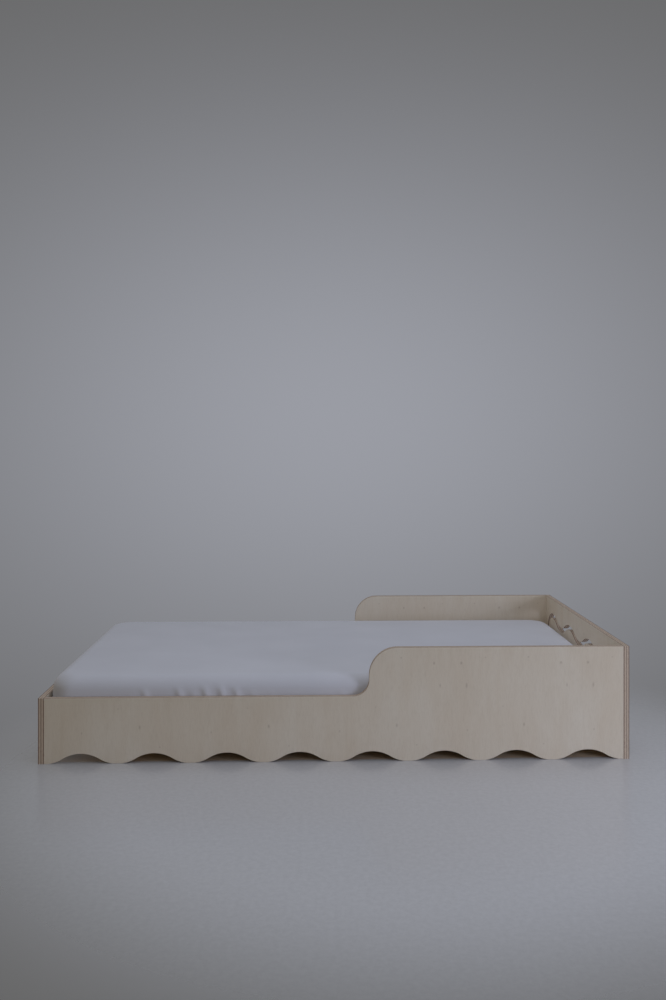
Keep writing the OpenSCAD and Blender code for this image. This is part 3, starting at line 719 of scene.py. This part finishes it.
# %% Webbing and steel
BUNDLES_APART = 0.012566  # as drawn
webbing, tree, shader = principled("woven polypropylene webbing", Roughness=0.6, IOR=1.49)
place = add(tree, COORDS).outputs["Object"]
# Bundled threads over and under each other, drawn 13 mm apart so that they show from across a room
warp, weft = [add(tree, WAVES, {"Vector": place, "Scale": WAVE_LENGTH / BUNDLES_APART, "Phase Offset": phase},
                  bands_direction=axis) for axis, phase in (("X", 0.5), ("Y", 0.0))]
weave = add(tree, MATH, {0: warp.outputs["Fac"], 1: weft.outputs["Fac"]}, operation="ADD")
paint(tree, shader, "#c9c3b2", (add(tree, MATH, {0: weave, 1: 0.5}, operation="MULTIPLY"), "#efebdf"))
woven = add(tree, BUMP, {"Height": weave, "Strength": 0.4, "Distance": 0.0005})
tree.links.new(woven.outputs[0], shader.inputs["Normal"])


def steel(name, tints, roughness, scale):
    """Zinc-plated steel: a bright skin with faint cloudy stains and the marks of tumbling."""
    made, tree, shader = principled(name, Metallic=1.0, Roughness=roughness)
    place = add(tree, COORDS).outputs["Object"]
    clouds = add(tree, NOISE, {"Vector": place, "Scale": scale, "Detail": 4.0})
    paint(tree, shader, tints[0], (clouds, tints[1]))
    dull = add(tree, RANGE, {0: clouds, 1: 0.3, 2: 0.7, 3: roughness - 0.06, 4: roughness + 0.1})
    tree.links.new(dull.outputs[0], shader.inputs["Roughness"])
    return made


finishes = {"ledger_front": pine_ledger, "ledger_back": pine_ledger, "corner_dowels": beech,
            "slat_strap_front": webbing, "slat_strap_back": webbing,
            "strap_staples": steel("galvanised staple wire", ("#9c9c9c", "#c4c4c2"), 0.35, 300.0),
            "corner_bolts": steel("zinc-plated bolts", ("#a9abad", "#cfd0d0"), 0.28, 180.0),
            "barrel_nuts": steel("zinc-plated nuts", ("#a5a5a3", "#c8c8c4"), 0.32, 180.0),
            "ledger_screws": steel("yellow zinc screws", ("#b9a873", "#d8c998"), 0.3, 260.0)}
finishes["slat_screws"] = finishes["ledger_screws"]
finishes.update({name: pine_slat for name in slats})
for name, finish in finishes.items():
    mesh = nodes[name].data
    mesh.materials.clear()
    mesh.materials.append(finish)
print(len(finishes), "CAD nodes have their finish")

# %% [markdown]
# ## The floor and the light
# The room is pale and soft. Daylight comes through a low window at the front right and bounces off the
# ceiling and the walls behind the bed and at its foot. The world gives the bounced light, from each side as
# strongly as that side is lit, and what the camera sees of it is a plain backdrop that gets darker away from
# the middle. The floor fades into it, sooner behind the bed than in front, so that no horizon cuts the
# picture. Under the bed the floor is painted tan, as painted warm light bounced off the wood, so that it
# looks an even dark brown in the bed's shade.

# %% The room
LIGHT_ALL_ROUND = (0.036, 0.031, 0.019)
# What each side adds to it: from above, from the front, from the foot and from the wall behind the bed
LIGHT_FROM = [((0, 0, 1), (0.169, 0.177, 0.195)), ((0, -1, 0), (0.068, 0.062, 0.048)),
              ((-1, 0, 0), (0.066, 0.044, 0.008)), ((0, 1, 0), (0.197, 0.206, 0.223))]
# The backdrop is brightest in one direction. How far another one lies aside and above is weighed by STRETCH,
# and from DARKEST on the backdrop is darkest.
BRIGHTEST, STRETCH, DARKEST = (0.03, 1.0, 0.03), (0.68, 0.0, 1.0), 0.55

world = bpy.data.worlds.new("pale room")
bpy.context.scene.world = world
world.use_nodes = True
tree = world.node_tree
way = add(tree, COORDS).outputs["Generated"]
light = LIGHT_ALL_ROUND
for side, glow in LIGHT_FROM:
    facing = add(tree, VECTOR, {0: way, 1: side}, operation="DOT_PRODUCT").outputs["Value"]
    facing = add(tree, MATH, {0: facing, 1: 0.0}, operation="MAXIMUM")
    share = add(tree, VECTOR, {0: glow, "Scale": facing}, operation="SCALE")
    light = add(tree, VECTOR, {0: share, 1: light}, operation="ADD")
aside = add(tree, VECTOR, {0: way, 1: BRIGHTEST}, operation="SUBTRACT")
aside = add(tree, VECTOR, {0: aside, 1: STRETCH}, operation="MULTIPLY")
distance = add(tree, VECTOR, {0: aside}, operation="LENGTH").outputs["Value"]
outward = add(tree, RANGE, {0: distance, 1: 0.0, 2: DARKEST}, interpolation_type="SMOOTHSTEP")
seen = add(tree, MIX, {0: outward, 6: colour("#9a9ca4"), 7: colour("#666666")}, data_type="RGBA").outputs[2]
by_camera = add(tree, "ShaderNodeLightPath").outputs["Is Camera Ray"]
bounced = add(tree, MIX, {0: by_camera, 6: light, 7: seen}, data_type="RGBA").outputs[2]
tree.links.new(bounced, tree.nodes["Background"].inputs["Color"])

# Each lamp's name, side, power in watts, place, aim and tint
for name, size, power, spot, aim, tint in [
        ("window", 0.9, 20.8, (2.45, -2.2, 0.55), (0.0, -0.4, 0.2), "#e5ebff"),
        ("ceiling", 4.0, 27, (0.4, -0.8, 3.2), (0.4, -0.8, 0.0), "#e9f1ff")]:
    lamp = bpy.data.objects.new(name, bpy.data.lights.new(name, "AREA"))
    bpy.context.scene.collection.objects.link(lamp)
    lamp.data.size, lamp.data.energy, lamp.data.color = size, power, colour(tint)[:3]
    lamp.location = spot
    lamp.rotation_euler = (Vector(spot) - Vector(aim)).to_track_quat("Z", "Y").to_euler()
print("lit by a window, the ceiling and the walls")

# %% The floor
INSIDE = (0.912, 0.462, 0.0)  # half the length and width between the boards' inner faces
WARM_SHADE_EDGE = 0.006  # from the middle line of the painted warm shade to where it ends
FADE_CENTRE, FADE = (0.17, -0.5, 0.0), (0.8, 1.5)  # the floor is whole up to the first distance from it
FLOOR_HALF = 9  # half the length of its sides

pale, tree, shader = principled("pale sealed floor", Roughness=0.2, IOR=1.5)
place = add(tree, COORDS).outputs["Object"]
mottle = add(tree, NOISE, {"Vector": place, "Scale": 70.0, "Detail": 4.0, "Roughness": 0.7})
# How far a point lies past the line of the boards' inner faces, to each side
past = add(tree, VECTOR, {0: place}, operation="ABSOLUTE")
past = add(tree, SEPARATE, {0: add(tree, VECTOR, {0: past, 1: INSIDE}, operation="SUBTRACT")})
furthest = add(tree, MATH, {0: past.outputs[0], 1: past.outputs[1]}, operation="MAXIMUM")
# Under the bed the floor is painted tan: painted warm bounce light, which looks dark brown in the bed's shade
under = add(tree, RANGE, {0: furthest, 1: WARM_SHADE_EDGE, 2: -WARM_SHADE_EDGE}, interpolation_type="SMOOTHSTEP")
paint(tree, shader, "#d0d1d7",
      (add(tree, RANGE, {0: mottle, 1: 0.35, 2: 0.65}), "#d8d9df"),
      (under, "#f1ddc4"))
reach = add(tree, VECTOR, {0: place, 1: FADE_CENTRE}, operation="DISTANCE").outputs["Value"]
fade = add(tree, RANGE, {0: reach, 1: FADE[0], 2: FADE[1]}, interpolation_type="SMOOTHSTEP")
mixed = add(tree, "ShaderNodeMixShader", {0: fade, 1: shader, 2: add(tree, "ShaderNodeBsdfTransparent")})
tree.links.new(mixed.outputs[0], tree.nodes["Material Output"].inputs["Surface"])
mesh = bpy.data.meshes.new("floor")
mesh.from_pydata([(FLOOR_HALF * x, FLOOR_HALF * y, 0) for x, y in ((-1, -1), (1, -1), (1, 1), (-1, 1))],
                 [], [(0, 1, 2, 3)])
floor = bpy.data.objects.new("floor", mesh)
bpy.context.scene.collection.objects.link(floor)
mesh.materials.append(pale)
print("the floor fades out between", FADE[0], "and", FADE[1], "m from a point in front of the bed")
